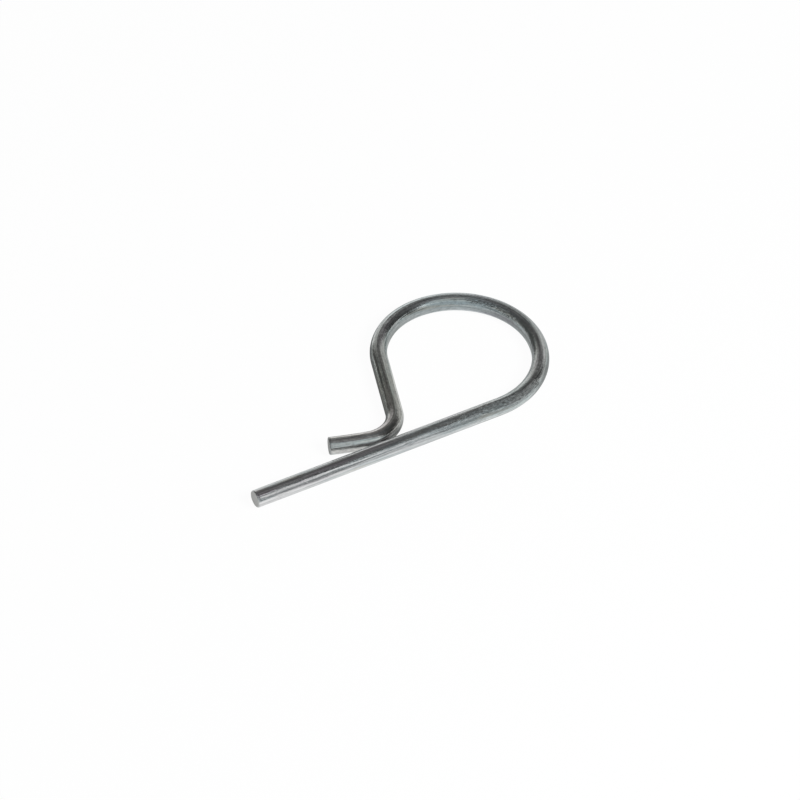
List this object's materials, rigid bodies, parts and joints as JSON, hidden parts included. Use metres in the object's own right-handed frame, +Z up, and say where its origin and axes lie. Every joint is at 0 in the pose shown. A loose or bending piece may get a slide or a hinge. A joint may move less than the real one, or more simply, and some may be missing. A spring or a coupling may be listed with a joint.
{
  "type": "spring cotter pin",
  "caption": "Spring cotter pin of bent round wire: the straight leg passes through a shaft's cross hole, and the looped arm springs closed around the shaft.",
  "frame": {"origin": "centre of the clip's footprint, on the surface that it lies on", "axes": "+X along the leg from its tip to the loop, +Y from the leg across the loop, +Z up out of the plane of the bends"},
  "size_m": [0.102, 0.051, 0.005],
  "materials": {
    "zinc_plated_wire": "bright zinc plate on drawn spring steel wire, with faint draw lines and light scuffs"
  },
  "bodies": {
    "root": {"clip": "zinc_plated_wire"}
  },
  "joints": []
}
